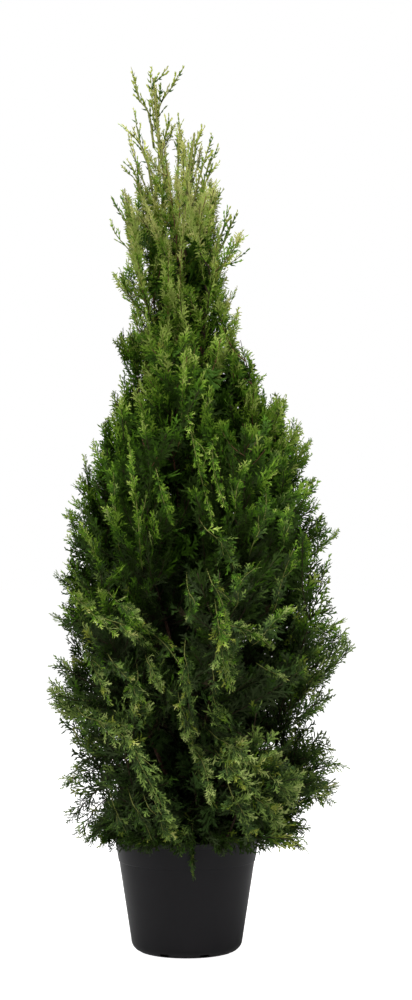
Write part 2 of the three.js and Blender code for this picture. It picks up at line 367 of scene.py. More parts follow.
POT_SIDES = 96
POT_WALL = 0.0018
POT_FLOOR = 0.0024
POT_CREASE = math.radians(35)
HEEL_RADIUS = RIM_RADIUS * 0.7576
BASE_RADIUS = RIM_RADIUS * 0.589
HEEL_HEIGHT = RIM * 0.104
HEEL_CUTS = 8
LEDGE_HEIGHT = RIM * 0.776
LEDGE_STEP = 0.0012
LIP_HEIGHT = 0.009
LIP_STEP = 0.0015
RIM_ROUND = 0.0011
DRAIN_COUNT = 8
DRAIN_FIRST = math.radians(20)
DRAIN_RING = BASE_RADIUS * 1.162
DRAIN_RADIUS = 0.0075
DRAIN_DEPTH = 0.014


def pot_wall_radius(z):
    """The wall's outside at a height, without its ledge and its lip."""
    top = RIM_RADIUS - LIP_STEP - LEDGE_STEP
    return HEEL_RADIUS + (top - HEEL_RADIUS) * (z - HEEL_HEIGHT) / (RIM - HEEL_HEIGHT)


def pot_profile():
    """(radius, height) from the underside up the outside, over the rim and down to the inner floor."""
    lip_foot = RIM - LIP_HEIGHT
    ledge = pot_wall_radius(LEDGE_HEIGHT)
    neck = pot_wall_radius(lip_foot) + LEDGE_STEP
    inside = pot_wall_radius(RIM) - POT_WALL
    heel = []
    for i in range(1, HEEL_CUTS + 1):
        turn = i / HEEL_CUTS * math.pi / 2
        radius = BASE_RADIUS + (HEEL_RADIUS - BASE_RADIUS) * math.sin(turn)
        heel.append((radius, HEEL_HEIGHT * (1 - math.cos(turn))))
    rim = []
    for turn in (0.0, 0.8, math.pi / 2):
        rim.append((RIM_RADIUS - RIM_ROUND * (1 - math.cos(turn)), RIM - RIM_ROUND * (1 - math.sin(turn))))
    return [
        (BASE_RADIUS, 0.0),
        *heel,
        (pot_wall_radius(0.05), 0.05),
        (pot_wall_radius(0.10), 0.10),
        (ledge, LEDGE_HEIGHT),
        (ledge + LEDGE_STEP * 0.7, LEDGE_HEIGHT + 0.0006),
        (ledge + LEDGE_STEP, LEDGE_HEIGHT + 0.0016),
        (neck, lip_foot),
        (neck + LIP_STEP * 0.6, lip_foot + 0.0006),
        (neck + LIP_STEP, lip_foot + 0.0018),
        *rim,
        (inside + 0.0006, RIM),
        (inside, RIM - 0.0008),
        (pot_wall_radius(0.10) - POT_WALL, 0.10),
        *((radius - POT_WALL, max(z, POT_FLOOR)) for radius, z in reversed(heel[1:])),
    ]


def cut_drains(pot):
    """Cuts the drain slots through the heel, one cylinder each."""
    cutters = []
    for i in range(DRAIN_COUNT):
        angle = DRAIN_FIRST + i * 2 * math.pi / DRAIN_COUNT
        place = (DRAIN_RING * math.cos(angle), DRAIN_RING * math.sin(angle), 0)
        bpy.ops.mesh.primitive_cylinder_add(
            vertices=24, radius=DRAIN_RADIUS, depth=DRAIN_DEPTH, location=place
        )
        cutters.append(bpy.context.object)
    cutter = join(cutters, "drain_cutter")
    modifier = pot.modifiers.new("drains", "BOOLEAN")
    modifier.operation = "DIFFERENCE"
    modifier.solver = "EXACT"
    modifier.object = cutter
    select_only(pot)
    bpy.ops.object.modifier_apply(modifier=modifier.name)
    bpy.data.objects.remove(cutter)


def make_pot():
    """A thin-walled tapered pot with a rounded heel, a stacking ledge, a lip and drain slots."""
    pot = settle(turn_body(POT_SIDES, pot_profile()), "nursery_pot")
    cut_drains(pot)
    select_only(pot)
    bpy.ops.object.shade_smooth_by_angle(angle=POT_CREASE)
    pot.data.materials.append(make_pot_plastic())
    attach(pot, "root")
    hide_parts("pot")


# ---- Compost ----

COMPOST_SIDES = 64
COMPOST_RINGS = 20
SURFACE_DROP = 0.0015
WAVES = 24
WAVE_SPREAD = 150
WAVE_HEIGHT = 0.00035
CRUMBS = 260


def make_compost():
    """The compost: a body whose top is cut into rings and heaved by waves, with loose crumbs joined on."""
    rng = np.random.default_rng(5)
    side = (COMPOST_HIGH.x - COMPOST_LOW.x) / 2 - 0.0006
    top = COMPOST_HIGH.z
    profile = [
        (BASE_RADIUS - 0.004, COMPOST_LOW.z),
        (pot_wall_radius(HEEL_HEIGHT) - POT_WALL - 0.0016, HEEL_HEIGHT),
        (side - 0.001, top - 0.006),
        (side * 0.985, top - 0.003),
    ]
    for k in range(1, COMPOST_RINGS + 1):
        profile.append((side * (1 - k / (COMPOST_RINGS + 2)), top - SURFACE_DROP))
    body = turn_body(COMPOST_SIDES, profile)
    waves = rng.normal(size=(WAVES, 2)) * WAVE_SPREAD
    phases = rng.uniform(0, 2 * math.pi, WAVES)

    def heave(x, y):
        return WAVE_HEIGHT * sum(math.sin(x * w[0] + y * w[1] + p) for w, p in zip(waves, phases))

    for vertex in body.data.vertices:
        if vertex.co.z > top - COMPOST_LOW.z - 0.0025:
            vertex.co.z += heave(vertex.co.x, vertex.co.y)
    crumbs = []
    for _ in range(CRUMBS):
        angle, out = rng.uniform(0, 2 * math.pi), side * 0.93 * math.sqrt(rng.uniform())
        x, y = out * math.cos(angle), out * math.sin(angle)
        bpy.ops.mesh.primitive_ico_sphere_add(
            subdivisions=1,
            radius=rng.uniform(0.0012, 0.0042),
            location=(x, y, top - 0.0008 + heave(x, y)),
            rotation=tuple(rng.uniform(0, 3, 3)),
        )
        crumb = bpy.context.object
        crumb.scale = (1.0, rng.uniform(0.45, 0.9), rng.uniform(0.3, 0.6))
        crumbs.append(crumb)
    join([body, *crumbs], "compost_surface")
    body.data.materials.append(make_compost_peat())
    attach(body, "root")
    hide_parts("compost")


# ---- Trunk and boughs ----


def centre_line(node, stations):
    """The middle of an upright limb at evenly spaced heights, with its mean radius there."""
    points = node_points(node)
    low, high = points[:, 2].min(), points[:, 2].max()
    heights = np.unique(np.round(points[:, 2], 4))
    rings = [points[np.abs(points[:, 2] - z) < 2e-4] for z in heights]
    rings = [r for r in rings if len(r) >= 5]
    zs = np.array([r[:, 2].mean() for r in rings])
    centres = np.array([(r.min(0) + r.max(0)) / 2 for r in rings])
    radii = np.array([np.ptp(r[:, :2], axis=0).mean() / 2 for r in rings])
    at = np.linspace(low, high, stations)
    line = np.stack([np.interp(at, zs, centres[:, 0]), np.interp(at, zs, centres[:, 1]), at], axis=1)
    return line, np.interp(at, zs, radii)


def leaning_line(node, stations):
    """The middle of a leaning limb and its radius there, from the rings of points of its solid."""
    points = node_points(node)
    points = points[np.argsort(points[:, 2])]
    rings = np.split(points, np.nonzero(np.diff(points[:, 2]) > 0.015)[0] + 1)
    centres = np.array([ring.mean(0) for ring in rings])
    radii = np.array([np.linalg.norm(ring - ring.mean(0), axis=1).max() for ring in rings])
    shares = np.linspace(0, len(rings) - 1, stations)
    return smooth_line(centres, stations), np.interp(shares, np.arange(len(rings)), radii)


def limb_from_curve(name, line, radii, smoothness):
    """A limb drawn as a curve with a round section, its radius set point by point, turned into a mesh."""
    deselect_all()
    bpy.ops.curve.primitive_nurbs_path_add(location=(0, 0, 0))
    limb = bpy.context.object
    curve = limb.data
    curve.splines.clear()
    spline = curve.splines.new("POLY")
    spline.points.add(len(line) - 1)
    for point, place, radius in zip(spline.points, line, radii):
        point.co = (*place, 1)
        point.radius = radius
    curve.dimensions = "3D"
    curve.bevel_depth = 1.0
    curve.bevel_resolution = smoothness
    curve.use_fill_caps = True
    select_only(limb)
    bpy.ops.object.convert(target="MESH")
    limb = bpy.context.object
    bpy.ops.object.mode_set(mode="EDIT")
    close_mesh()
    return settle(limb, name)


BARK_WAVES = 14
BARK_WAVE_SPREAD = np.array([420.0, 420.0, 34.0])
BARK_SINK = 0.6


def raise_bark(piece, depth, seed, flat_below=None):
    """Pushes the surface in and out in long fibrous strips that follow the limb."""
    rng = np.random.default_rng(seed)
    mesh = piece.data
    count = len(mesh.vertices)
    points, normals = np.empty(count * 3), np.empty(count * 3)
    mesh.vertices.foreach_get("co", points)
    mesh.vertices.foreach_get("normal", normals)
    points, normals = points.reshape(-1, 3), normals.reshape(-1, 3)
    relief = np.zeros(count)
    for _ in range(BARK_WAVES):
        wave = rng.normal(size=3) * BARK_WAVE_SPREAD
        relief += np.sin(points @ wave + rng.uniform(0, 2 * math.pi))
    relief = np.abs(relief / math.sqrt(BARK_WAVES)) - BARK_SINK
    if flat_below is not None:
        relief *= points[:, 2] > flat_below
    points += normals * (relief * depth)[:, None]
    mesh.vertices.foreach_set("co", points.ravel())
    mesh.update()


def smooth_line(points, count):
    """A smooth line through a few points, cut into even steps (Catmull-Rom)."""
    points = np.asarray(points, float)
    padded = np.vstack([2 * points[0] - points[1], points, 2 * points[-1] - points[-2]])
    places = np.linspace(0, len(points) - 1, count)
    out = []
    for u in places:
        i = min(int(u), len(points) - 2)
        t = u - i
        a, b, c, d = padded[i : i + 4]
        out.append(
            0.5 * (2 * b + (c - a) * t + (2 * a - 5 * b + 4 * c - d) * t**2 + (3 * b - a - 3 * c + d) * t**3)
        )
    return np.array(out)


def bough_line(node):
    """Three points down a bough's middle: at the trunk, halfway and at its far end."""
    points = node_points(node)
    trunk_side = points[np.argsort(points[:, 2])[:5]].mean(0)
    far_side = points[np.argsort(points[:, 2])[-5:]].mean(0)
    middle = points[np.abs(points[:, 2] - (trunk_side[2] + far_side[2]) / 2).argsort()[:5]].mean(0)
    return trunk_side, middle, far_side


TRUNK_STATIONS = 120
LEADER_STATIONS = 40
BOUGH_STATIONS = 16
WOOD_SHARE = 0.97


def make_wood(bark):
    """Trunk, second leader and boughs, a little thinner than their solids to leave room for the relief."""
    trunk_line, trunk_radii = centre_line("trunk", TRUNK_STATIONS)
    trunk = limb_from_curve("trunk_bark", trunk_line, trunk_radii * WOOD_SHARE, 6)
    raise_bark(trunk, 0.0007, 21, flat_below=TRUNK_FOOT + 0.001)
    leader_line, leader_radii = leaning_line("second_leader", LEADER_STATIONS)
    leader = limb_from_curve("second_leader_bark", leader_line, leader_radii * WOOD_SHARE, 3)
    raise_bark(leader, 0.00025, 22)
    bough_radii = 0.0046 - 0.0024 * np.linspace(0, 1, BOUGH_STATIONS)
    limbs = []
    for node in BOUGHS:
        line = smooth_line(bough_line(node), BOUGH_STATIONS)
        limbs.append(limb_from_curve(node + "_limb", line, bough_radii, 3))
    boughs = join(limbs, "boughs_bark")
    raise_bark(boughs, 0.0004, 23)
    for piece, nodes in ((trunk, ["trunk"]), (leader, ["second_leader"]), (boughs, BOUGHS)):
        select_only(piece)
        bpy.ops.object.shade_smooth_by_angle(angle=math.radians(60))
        piece.data.materials.append(bark)
        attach(piece, "root")
        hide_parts(*nodes)


# ---- One spray of leaves ----
# A spray is flat: a shoot along X with shorter shoots on alternate sides, all clad in scale leaves. Every
# shoot is a slender kite of two faces, folded along its middle. The spray is one unit long.

KITE_FOLD = 0.35
KITE_BROADEST = 0.40
AXIS_SPANS = [(0.0, 0.5), (0.3, 0.78), (0.62, 1.0)]


class Kites:
    """Gathers the kites of one spray: four points each, and an age: 0 for old, 1 for grown, 2 for young. Old
    kites sit at the spray's base and take darker tints, partly for their age and partly as painted shade.
    """

    def __init__(self):
        self.points, self.ages = [], []

    def add(self, base, tip, width, age):
        base, tip = np.array(base, float), np.array(tip, float)
        along = tip - base
        side = unit(np.cross(UP, along)) * width / 2
        middle = base + KITE_BROADEST * along - np.array([0, 0, KITE_FOLD * width])
        self.points += [base, middle - side, tip, middle + side]
        self.ages.append(age)


def spray_axis(x, bend, cup):
    """The spray's own shoot at x: it bends aside in its plane and cups out of it."""
    return np.array([x, bend * x * x, -cup * x * x])


def leafy_spray(rng, shoots, subs, width, spread):
    """A spray with side shoots, alternately left and right, and up to `subs` shorter ones on each of them."""
    kites = Kites()
    bend, cup = rng.normal(0, 0.11), rng.uniform(-0.06, 0.20)
    # The spray's base is old and takes a darker tint, partly as painted shade; its tip is young and paler.
    for age, (low, high) in enumerate(AXIS_SPANS):
        kites.add(spray_axis(low, bend, cup), spray_axis(high, bend, cup), width * 1.15, age)
    side = 1 if rng.uniform() < 0.5 else -1
    for i in range(shoots):
        share = i / (shoots - 1)
        x = 0.06 + 0.72 * share + rng.normal(0, 0.02)
        root = spray_axis(x, bend, cup)
        side = -side
        angle = math.radians(37 - 12 * share + rng.normal(0, 7)) * side
        length = spread * (1.0 - 0.52 * share) * rng.uniform(0.7, 1.2)
        heading = np.array([math.cos(angle), math.sin(angle), -cup * x - rng.uniform(-0.22, 0.30)])
        kites.add(root, root + heading * length, width, 0 if share < 0.28 else (1 if share < 0.6 else 2))
        for j in range(subs if length > 0.5 * spread else subs - 1):
            u = 0.38 + 0.30 * j + rng.normal(0, 0.03)
            turn = angle + math.radians(rng.uniform(24, 36)) * (1 if j % 2 else -1) * side
            reach = length * rng.uniform(0.42, 0.58)
            sub_heading = np.array([math.cos(turn), math.sin(turn), heading[2] + rng.normal(0, 0.14)])
            foot = root + heading * length * u
            kites.add(foot, foot + sub_heading * reach, width * 0.9, 1 if share < 0.35 else 2)
    return np.array(kites.points), np.array(kites.ages)


def make_variants():
    """The shapes of sprays, and which of them are of each kind: full for the crown's body, open for its tips,
    forked for the leaders, and broad ones that fill the crown's inside with painted shade."""
    rng = np.random.default_rng(2)
    kinds = {
        "full": [leafy_spray(rng, int(rng.integers(6, 9)), 2, 0.075, 0.50) for _ in range(20)],
        "open": [leafy_spray(rng, int(rng.integers(4, 7)), 1, 0.075, 0.46) for _ in range(10)],
        "forked": [leafy_spray(rng, int(rng.integers(2, 5)), 0, 0.115, 0.46) for _ in range(10)],
        "inner": [leafy_spray(rng, 7, 2, 0.105, 0.58) for _ in range(4)],
    }
    variants, pools = [], {}
    for kind, members in kinds.items():
        pools[kind] = list(range(len(variants), len(variants) + len(members)))
        variants += members
    return variants, pools


VARIANTS, POOLS = make_variants()


class Leafage:
    """The sprays of one piece, gathered as arrays and made into one mesh at the end."""

    def __init__(self):
        self.rows = []

    def add(self, variant, origin, heading, normal, size, tints):
        self.rows.append((variant, origin, heading, normal, size, tints))

    def build(self, name):
        points, slots = [], []
        for variant in sorted({row[0] for row in self.rows}):
            shape, ages = VARIANTS[variant]
            rows = [row for row in self.rows if row[0] == variant]
            origin = np.array([r[1] for r in rows])
            x = unit(np.array([r[2] for r in rows]))
            z = np.array([r[3] for r in rows])
            z = unit(z - x * np.sum(x * z, axis=1, keepdims=True))
            y = np.cross(z, x)
            size = np.array([r[4] for r in rows])
            basis = np.stack([x, y, z], axis=1) * size[:, None, None]
            points.append((np.einsum("vk,nkc->nvc", shape, basis) + origin[:, None, :]).reshape(-1, 3))
            tints = np.array([r[5] for r in rows])
            slots.append(np.repeat(tints[:, ages].ravel(), 2))
        points, slots = np.concatenate(points), np.concatenate(slots)
        corner = np.arange(0, len(points), 4)[:, None]
        triangles = np.concatenate([corner + [0, 1, 2], corner + [0, 2, 3]], axis=1).reshape(-1, 3)
        return mesh_from_arrays(name, points, triangles, slots, leaf_materials)


def mesh_from_arrays(name, points, triangles, slots, materials):
    mesh = bpy.data.meshes.new(name)
    mesh.vertices.add(len(points))
    mesh.vertices.foreach_set("co", points.astype(np.float32).ravel())
    mesh.loops.add(len(triangles) * 3)
    mesh.loops.foreach_set("vertex_index", triangles.astype(np.int32).ravel())
    mesh.polygons.add(len(triangles))
    mesh.polygons.foreach_set("loop_start", np.arange(0, len(triangles) * 3, 3, dtype=np.int32))
    mesh.polygons.foreach_set("material_index", slots.astype(np.int32))
    for material in materials:
        mesh.materials.append(material)
    mesh.update(calc_edges=True)
    mesh.validate()
    return add_object(name, mesh)


class Twigs:
    """Thin tapering twigs with a three-sided section, gathered as arrays."""

    def __init__(self):
        self.points, self.triangles, self.slots, self.count = [], [], [], 0

    def add(self, line, start_radius, end_radius, tint):
        line = np.asarray(line, float)
        steps = len(line)
        tangent = unit(np.gradient(line, axis=0))
        side = unit(np.cross(tangent, np.where(np.abs(tangent[:, 2:3]) > 0.9, [[1.0, 0, 0]], [[0, 0, 1.0]])))
        other = np.cross(tangent, side)
        radius = np.linspace(start_radius, end_radius, steps)[:, None, None]
        turn = (np.arange(3) * 2 * math.pi / 3)[None, :, None]
        ring = side[:, None, :] * np.cos(turn) + other[:, None, :] * np.sin(turn)
        self.points.append((line[:, None, :] + ring * radius).reshape(-1, 3))
        faces = []
        for s in range(steps - 1):
            for k in range(3):
                a, b = s * 3 + k, s * 3 + (k + 1) % 3
                faces += [(a, a + 3, b), (b, a + 3, b + 3)]
        last = (steps - 1) * 3
        faces += [(0, 1, 2), (last, last + 2, last + 1)]
        self.triangles.append(np.array(faces) + self.count)
        self.slots.append(np.full(len(faces), tint))
        self.count += steps * 3

    def build(self, name):
        return mesh_from_arrays(
            name,
            np.concatenate(self.points),
            np.concatenate(self.triangles),
            np.concatenate(self.slots),
            twig_materials,
        )


# ---- The crown's own outline ----


def crown_tree():
    """One search tree of every foliage mass."""
    shape = bmesh.new()
    for node in MASSES + TUFTS + [WEEPING]:
        shape.from_mesh(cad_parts[node].data)
    tree = BVHTree.FromBMesh(shape)
    shape.free()
    return tree


CROWN = crown_tree()
TRUNK_LINE, _ = centre_line("trunk", 60)


def trunk_centre(z):
    """The trunk's middle at a height, as x and y."""
    return np.array([np.interp(z, TRUNK_LINE[:, 2], TRUNK_LINE[:, k]) for k in (0, 1)])


# How far the crown spreads to the left and to the right, as (height, left, right) in millimetres.
SPREAD = [
    (170, 155, 182),
    (240, 184, 224),
    (280, 184, 236),
    (330, 178, 224),
    (370, 204, 198),
    (420, 226, 240),
    (470, 194, 250),
    (520, 218, 256),
    (570, 210, 228),
    (620, 200, 240),
    (660, 202, 236),
    (700, 198, 206),
    (740, 176, 196),
    (770, 162, 206),
    (800, 150, 196),
    (850, 118, 162),
    (900, 94, 126),
    (930, 104, 138),
    (960, 130, 62),
    (990, 80, 82),
    (1040, 114, 70),
    (1090, 108, 116),
    (1150, 126, 78),
    (1210, 78, 36),
    (1280, 74, 28),
    (1320, 78, -20),
    (1400, 64, -42),
]
SPREAD_HEIGHTS, SPREAD_LEFT, SPREAD_RIGHT = np.transpose(SPREAD) / 1000
REACH_HEIGHTS = np.linspace(0.19, CROWN_TOP, 61)
REACH_TURNS = 36
RAY_START = 0.6
LEAST_REACH = 0.012


def neighbours(values, axis):
    """An array with its two neighbours along an axis: ways go round, and heights stop at the ends."""
    if axis == 1:
        return np.roll(values, -1, 1), values, np.roll(values, 1, 1)
    level = np.pad(values, ((1, 1), (0, 0)), mode="edge")
    return level[:-2], level[1:-1], level[2:]


def make_reach():
    """How far the crown reaches from the trunk, by height and by way, with its clefts partly bridged."""
    reach = np.zeros((len(REACH_HEIGHTS), REACH_TURNS))
    for i, z in enumerate(REACH_HEIGHTS):
        centre = np.array([*trunk_centre(z), z])
        for k in range(REACH_TURNS):
            turn = 2 * math.pi * k / REACH_TURNS
            way = np.array([math.cos(turn), math.sin(turn), 0.0])
            hit = CROWN.ray_cast(Vector(centre + way * RAY_START), Vector(-way), RAY_START)
            reach[i, k] = RAY_START - hit[3] if hit[0] is not None else LEAST_REACH
    bridged = np.max(neighbours(np.max(neighbours(reach, 0), axis=0), 1), axis=0)
    evened = sum(neighbours(bridged, 0)) / 3
    evened = sum(neighbours(evened, 1)) / 3
    for i, z in enumerate(REACH_HEIGHTS):
        middle = trunk_centre(z)[0]
        left = np.interp(z, SPREAD_HEIGHTS, SPREAD_LEFT) + middle
        right = np.interp(z, SPREAD_HEIGHTS, SPREAD_RIGHT) - middle
        for k in range(REACH_TURNS):
            side = math.cos(2 * math.pi * k / REACH_TURNS)
            weight = np.clip((abs(side) - 0.35) / 0.4, 0, 1) * 0.9
            own = 0.4 * reach[i, k] + 0.6 * evened[i, k]
            reach[i, k] = own * (1 - weight) + max(0.01, right if side > 0 else left) * weight
    return reach


REACH = make_reach()


def reach_at(z, way):
    """The crown's reach at a height, looking the way an angle points."""
    share = (z - REACH_HEIGHTS[0]) / (REACH_HEIGHTS[-1] - REACH_HEIGHTS[0])
    i = np.clip(share, 0, 0.9999) * (len(REACH_HEIGHTS) - 1)
    k = (way / (2 * math.pi)) % 1.0 * REACH_TURNS
    i0, k0 = int(i), int(k) % REACH_TURNS
    k1 = (k0 + 1) % REACH_TURNS
    u, v = i - i0, k - int(k)
    low = REACH[i0, k0] * (1 - v) + REACH[i0, k1] * v
    high = REACH[i0 + 1, k0] * (1 - v) + REACH[i0 + 1, k1] * v
    return low * (1 - u) + high * u


def from_trunk(point):
    """How far a point is from the trunk's middle, and which way it lies."""
    off = point[:2] - trunk_centre(point[2])
    return math.hypot(*off), math.atan2(off[1], off[0])


def outness(point):
    """0 at the trunk and 1 at the crown's outline."""
    out, way = from_trunk(point)
    return out / reach_at(point[2], way)


def in_crown(point, slack=0.0):
    """True where leaves may be: inside the outline, clear of the pot and not below the skirt."""
    out, way = from_trunk(point)
    if point[2] < RIM + 0.004:
        if point[2] < RIM - 0.016 or math.hypot(point[0], point[1]) < RIM_RADIUS + 0.008:
            return False
    if point[2] > CROWN_TOP - 0.002:
        return False
    return out <= reach_at(point[2], way) + slack


def on_front(x, z, out):
    """A point of the crown's face at x and z, brought nearer to the front by `out`."""
    for y in np.arange(-0.30, 0.0, 0.004):
        if outness(np.array([x, y, z])) <= 0.93:
            break
    return np.array([x, y - out, z])


# ---- Growing the crown ----

# Fronds on each mass, the length they may reach, the size of their sprays and how bright they are.
Growth = namedtuple("Growth", "fronds longest spray bright")
RING_GROWTH = {
    "skirt": Growth(52, 0.17, 0.033, 0.07),
    "lower": Growth(54, 0.19, 0.032, 0.03),
    "middle": Growth(64, 0.20, 0.029, -0.04),
    "shoulder": Growth(68, 0.20, 0.026, 0.15),
    "neck": Growth(62, 0.19, 0.022, 0.50),
    "upper": Growth(26, 0.17, 0.019, 0.48),
    "spire": Growth(2, 0.09, 0.019, 0.28),
    "weeping": Growth(0, 0.05, 0.020, 0.14),
}

# How steeply the fronds rise, in degrees, as (height, lift).
LIFT = np.array(
    [
        (0.17, -16),
        (0.22, -2),
        (0.30, 16),
        (0.42, 36),
        (0.60, 56),
        (0.80, 68),
        (1.00, 76),
        (1.20, 82),
        (1.40, 86),
    ]
)

# Hollows in the front of the crown, as (x, y, z, half width, half depth, half height) in millimetres.
HOLLOWS = [
    (-22, -130, 725, 24, 80, 50),
    (-20, -180, 566, 32, 90, 46),
    (-145, -140, 440, 18, 90, 46),
    (101, -170, 472, 30, 90, 34),
    (40, -170, 275, 22, 90, 45),
    (52, -120, 212, 28, 80, 24),
    (12, -170, 640, 16, 80, 36),
    (-56, -170, 330, 16, 90, 36),
    (-104, -170, 290, 14, 80, 24),
    (26, -180, 400, 14, 80, 46),
    (100, -170, 372, 22, 80, 18),
    (-10, -160, 236, 22, 80, 34),
]
HOLLOW_SHAPES = [points_of(row) for row in HOLLOWS]


def in_hollow(point):
    if point[1] > 0:
        return False
    for middle, halves in HOLLOW_SHAPES:
        if np.sum(((point - middle) / halves) ** 2) < 1:
            return True
    return False


# Painted shade and painted light on the crown's face: where it is dimmer or brighter than the rest, as (x, z,
# half width, half height, change).
PAINTED_LIGHT_PATCHES = [
    (0.008, 0.600, 0.064, 0.170, -0.32),
    (0.020, 0.240, 0.040, 0.060, -0.08),
    (-0.020, 0.190, 0.120, 0.030, -0.34),
    (0.085, 0.310, 0.055, 0.050, 0.12),
    (0.140, 0.220, 0.060, 0.040, 0.06),
    (0.190, 0.455, 0.050, 0.080, 0.16),
    (0.104, 0.452, 0.030, 0.034, -0.34),
    (-0.095, 0.475, 0.060, 0.028, -0.16),
    (0.150, 0.350, 0.060, 0.080, 0.12),
    (0.120, 0.600, 0.080, 0.120, -0.18),
    (0.060, 0.470, 0.060, 0.060, -0.06),
    (-0.140, 0.360, 0.050, 0.050, 0.10),
    (-0.130, 0.250, 0.080, 0.070, -0.18),
    (-0.040, 0.960, 0.100, 0.120, 0.08),
    (0.120, 0.840, 0.060, 0.080, 0.12),
    (-0.020, 1.180, 0.100, 0.120, 0.06),
]


# Where the foliage is thin and the arching twigs show, at the lower left: (x, z, half width, half height).
THIN_PLACE = (-0.172, 0.246, 0.058, 0.076)


def in_thin_place(point):
    x, z, a, b = THIN_PLACE
    return ((point[0] - x) / a) ** 2 + ((point[2] - z) / b) ** 2 < 1


def painted_patch_light(point):
    """How much painted light the patches put on a point of the crown's front; below zero it is painted shade.
    """
    x, z = point[0], point[2]
    return sum(gain * math.exp(-(((x - a) / c) ** 2) - ((z - b) / d) ** 2) for a, b, c, d, gain in PAINTED_LIGHT_PATCHES)


# Where golden and warm leaves set in up the crown: the height, the width of the change and its unevenness.
GOLD_ZONE = (0.70, 0.20, 0.40)
WARM_ZONE = (0.16, 0.28, 0.28)
FOOT_ZONE = 0.03
FOOT_GOLD = 0.5
STRAY_GOLD = 0.10
# The brightnesses at which a family passes to its next tint, and how much brighter each age is than the last:
# young tips are paler, and the old base of a spray darker, partly for its age and partly as painted shade.
TINT_STEPS = (0.30, 0.50, 0.70, 0.97)
AGE_AND_SHADE_STEP = 0.20


def in_zone(rng, height, zone):
    start, width, uneven = zone
    return (height - start) / width + rng.normal(0, uneven) > 0.5


def tints_at(rng, light, point):
    """The tints of a spray's old, grown and young leaves at a brightness from 0 to 1, by their height. The
    brightness carries painted light and shade, and the patches add theirs on the front.
    """
    # The patches paint light and shade on the crown's front only.
    light += rng.normal(0, 0.15) + (painted_patch_light(point) if point[1] < 0 else 0.0)
    height = crown_height(point[2])
    if in_zone(rng, height, GOLD_ZONE):
        family = GOLD
    elif in_zone(rng, height, WARM_ZONE):
        family = WARM
    elif rng.uniform() < (FOOT_GOLD if height < FOOT_ZONE else STRAY_GOLD):
        family = GOLD
    else:
        family = COOL
    levels = (light - AGE_AND_SHADE_STEP, light, light + AGE_AND_SHADE_STEP)
    return tuple(family[sum(level > step for step in TINT_STEPS)] for level in levels)


def along(line, share):
    """The point and the heading at a share of a line of points."""
    at = min(max(share, 0.0), 0.999) * (len(line) - 1)
    i = int(at)
    step = line[i + 1] - line[i]
    return line[i] + step * (at - i), unit(step)


# How the sprays stand on a frond: their kind, the space between two as a share of their size, the bare share
# of the stem, how loosely they keep to the frond's plane, their angle to the stem in degrees at the crown's
# foot, and the stem's radius as a share of its length.
Style = namedtuple("Style", "kind spacing bare loose angle stem")
STYLES = {
    "plume": Style("full", 0.23, 0.10, 0.42, 37, 0.0046),
    "strand": Style("full", 0.30, 0.04, 0.65, 36, 0.0020),
    "ragged": Style("full", 0.25, 0.08, 0.42, 40, 0.0046),
    "antler": Style("forked", 0.48, 0.10, 0.70, 32, 0.0140),
    "arching": Style("full", 0.30, 0.16, 0.50, 36, 0.0100),
    "tail": Style("full", 0.20, 0.02, 0.80, 24, 0.0040),
    "column": Style("open", 0.22, 0.00, 0.90, 34, 0.0010),
}
GREEN_STYLES = ("strand", "antler", "tail", "column")
LEADER_STYLES = ("antler", "column")


# What makes a spray bright: standing out in the crown, nearness to its frond's tip, height, and turning up.
# Standing out puts painted light on the crown's outside and painted shade within it; turning up puts painted
# light on sprays on a frond's top side and painted shade on those on its underside.
OUT_PAINTED_LIGHT = 0.32
TIP_LIGHT = 0.18
HEIGHT_LIGHT = 0.30
RISE_PAINTED_LIGHT = 0.30
STEM_RADIUS = 0.0005
# A frond with more slack than this may leave the outline.
FREE_SLACK = 0.1


def frond(rng, leafage, twigs, line, plane, spray, bright, slack, style="plume"):
    """A flat leafy branch along a line, with sprays on alternate sides in one plane."""
    look = STYLES[style]
    length = float(np.linalg.norm(np.diff(line, axis=0), axis=1).sum())
    height = crown_height(line[0][2])
    tint = TWIG_BROWN
    if style in GREEN_STYLES:
        tint = TWIG_GREEN
    elif height > 0.45 and rng.uniform() < 0.5:
        tint = TWIG_RED
    twigs.add(line, STEM_RADIUS + look.stem * length, STEM_RADIUS, tint)
    count = max(3, int(length * (1 - look.bare) / (look.spacing * spray)))
    side = 1 if rng.uniform() < 0.5 else -1
    spreading = look.angle - 18 * height
    uneven = 0.34 if style == "strand" else 0.18
    for k in range(count + 1):
        share = look.bare + (1 - look.bare) * k / count
        point, tangent = along(line, share)
        side = -side
        across = unit(plane - tangent * np.dot(plane, tangent))
        angle = 0.0 if k == count else math.radians(spreading - 14 * share + rng.normal(0, 6)) * side
        rise = UP * 0.26 * min(1.0, 2 * height)
        heading = unit(turned(tangent, across, angle) + rng.normal(0, 0.10, 3) + rise)
        normal = unit(across + rng.normal(0, look.loose, 3))
        size = spray * (0.5 + 0.7 * math.sin(math.pi * min(1.0, 0.2 + 0.62 * share)))
        size *= rng.uniform(1.0 - uneven, 1.0 + 0.9 * uneven)
        for _ in range(4):
            if slack > FREE_SLACK or in_crown(point + heading * size, slack):
                break
            size *= 0.8
        else:
            continue
        if style == "plume" and in_hollow(point + heading * size * 0.5):
            continue
        # Painted light and shade: sprays far out and on a frond's top side get paler tints, those far in and
        # underneath darker.
        out = 0.94 if style in LEADER_STYLES else min(1.1, outness(point + heading * size))
        painted_rise_light = RISE_PAINTED_LIGHT * (heading[2] - tangent[2])
        light = OUT_PAINTED_LIGHT * out**5 + TIP_LIGHT * share + HEIGHT_LIGHT * height**1.4 + painted_rise_light + bright
        kind = look.kind
        if kind == "full" and share > 0.9 and rng.uniform() < 0.6:
            kind = "open"
        pool = POOLS[kind]
        leafage.add(pool[rng.integers(len(pool))], point, heading, normal, size, tints_at(rng, light, point))


